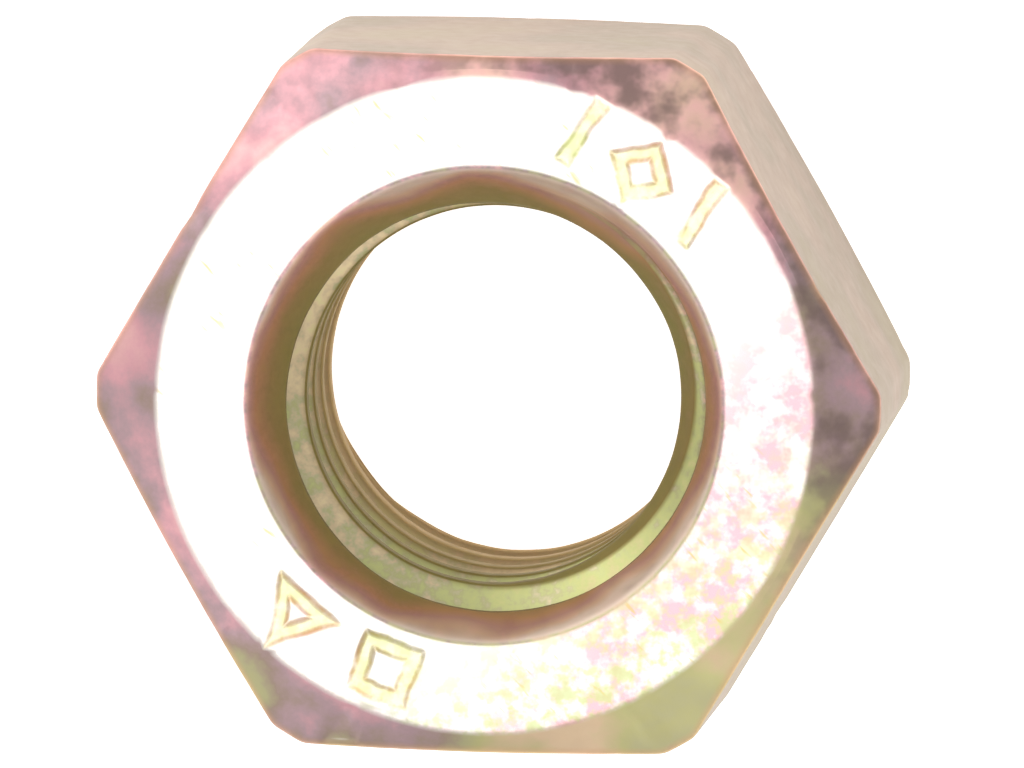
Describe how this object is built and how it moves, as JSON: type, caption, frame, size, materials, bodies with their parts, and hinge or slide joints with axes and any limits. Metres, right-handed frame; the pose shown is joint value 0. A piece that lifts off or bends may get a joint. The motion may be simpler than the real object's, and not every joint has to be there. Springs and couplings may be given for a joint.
{
  "type": "hex nut",
  "caption": "Plain hexagon nut with a right-hand metric coarse thread, rounded and chamfered corners, countersunk bore and yellow zinc plating.",
  "frame": {"origin": "on the thread's axis, in the plane of the plain bearing face that the nut lies on", "axes": "+Z along the thread's axis, out of the marked face; +X out of a corner; +Y out of a wrench flat"},
  "size_m": [0.0214, 0.019, 0.01],
  "materials": {
    "plated_steel": "satin yellow-passivated zinc on steel"
  },
  "bodies": {
    "root": {"hex_nut": "plated_steel"}
  },
  "joints": []
}
